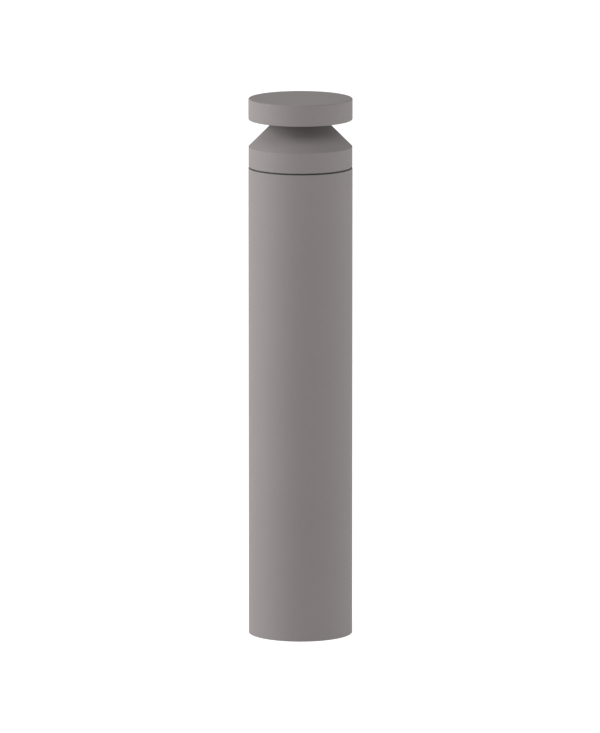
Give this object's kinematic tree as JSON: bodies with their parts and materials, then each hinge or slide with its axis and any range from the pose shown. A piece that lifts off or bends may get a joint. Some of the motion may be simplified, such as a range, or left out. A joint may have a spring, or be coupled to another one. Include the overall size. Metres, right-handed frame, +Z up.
{
  "type": "bollard light",
  "caption": "Round post light with a flat cap over a 45-degree cone, lift-off head and tube, and a base plate with a hinged connection box inside.",
  "frame": {"origin": "centre of the round footprint, on the ground", "axes": "+Z up along the tube's axis, -Y to the front (guide keys at the front, set screws at the rear), +X to the right seen from the front"},
  "size_m": [0.19, 0.19, 0.99],
  "materials": {
    "powder_coat": "fine-textured matt warm grey powder coat",
    "cast_alloy": "as-cast, lightly blasted",
    "zinc_steel": "zinc-plated sheet",
    "stainless": "stainless fasteners",
    "brass": "turned",
    "nickel": "plated",
    "black_rubber": "matt EPDM rubber",
    "box_plastic": "fine-grained light grey moulding",
    "dark_plastic": "fine-grained dark moulding",
    "terminal_plastic": "pale moulding",
    "lever_plastic": "orange moulding",
    "driver_white": "white moulding",
    "board_white": "white solder mask",
    "led_yellow": "phosphor over white package",
    "pad_grey": "soft filled silicone",
    "satin_lens": "smoke-grey satin diffuser, dark while the light is off",
    "fuse_glass": "clear",
    "lead_sheath": "silicone sheath"
  },
  "bodies": {
    "base": {"base_plate": "cast_alloy", "base_earth_stud": "stainless", "base_earth_nuts": "stainless", "box_bracket": "zinc_steel", "bracket_screws": "stainless", "connection_box": "box_plastic", "box_screws": "stainless", "lid_hinge_pin": "stainless", "outlet_grommet": "black_rubber", "gland_bodies": "dark_plastic", "gland_locknuts": "dark_plastic", "gland_seals": "black_rubber", "gland_domes": "dark_plastic", "din_rail": "zinc_steel", "terminal_block": "terminal_plastic", "terminal_clamps": "brass", "lever_pin": "stainless", "fuse_base": "terminal_plastic", "fuse_contacts": "brass"},
    "box_lid": {"connection_box_lid": "box_plastic", "lid_gasket": "black_rubber", "lid_screws": "stainless"},
    "live_lever": {"lever_live": "lever_plastic"},
    "neutral_lever": {"lever_neutral": "lever_plastic"},
    "earth_lever": {"lever_earth": "lever_plastic"},
    "fuse_drawer": {"fuse_carrier": "dark_plastic", "fuse_link": "fuse_glass", "fuse_caps": "nickel"},
    "tube": {"bollard_tube": "powder_coat", "set_screws": "stainless", "guide_keys": "cast_alloy", "tube_earth_stud": "stainless", "tube_earth_nuts": "stainless"},
    "head": {"head_housing": "powder_coat", "seam_gasket": "black_rubber", "hub_gasket": "black_rubber", "wire_nipple": "brass", "nipple_nut": "brass", "cap_screws": "stainless", "cap": "powder_coat", "thermal_pad": "pad_grey", "led_board": "board_white", "leds": "led_yellow", "board_connector": "terminal_plastic", "board_screws": "stainless", "lens_ring": "satin_lens", "outer_lens_gasket": "black_rubber", "inner_lens_gasket": "black_rubber", "lens_bezel": "powder_coat", "bezel_screws": "stainless", "gear_tray": "zinc_steel", "tray_screws": "stainless", "led_driver": "driver_white", "driver_screws": "stainless", "surge_protector": "dark_plastic", "inlet_socket": "dark_plastic", "inlet_pins": "brass", "inlet_lead": "lead_sheath", "driver_lead": "lead_sheath", "led_lead": "lead_sheath"}
  },
  "joints": [
    {"name": "tube_lift", "type": "slide", "parent": "base", "child": "tube", "axis": [0, 0, 1], "range_m": [0, 0.26]},
    {"name": "head_lift", "type": "slide", "parent": "tube", "child": "head", "axis": [0, 0, 1], "range_m": [0, 0.24]},
    {"name": "lid_hinge", "type": "hinge", "parent": "base", "child": "box_lid", "pos_m": [-0.032, -0.01015, 0.18], "axis": [0, 0, -1], "range_deg": [0, 100]},
    {"name": "live_lever_hinge", "type": "hinge", "parent": "base", "child": "live_lever", "pos_m": [-0.0205, 0.007, 0.19], "axis": [-1, 0, 0], "range_deg": [0, 90]},
    {"name": "neutral_lever_hinge", "type": "hinge", "parent": "base", "child": "neutral_lever", "pos_m": [-0.01275, 0.007, 0.19], "axis": [-1, 0, 0], "range_deg": [0, 90]},
    {"name": "earth_lever_hinge", "type": "hinge", "parent": "base", "child": "earth_lever", "pos_m": [-0.005, 0.007, 0.19], "axis": [-1, 0, 0], "range_deg": [0, 90]},
    {"name": "fuse_pull", "type": "slide", "parent": "base", "child": "fuse_drawer", "axis": [0, -1, 0], "range_m": [0, 0.012]}
  ]
}
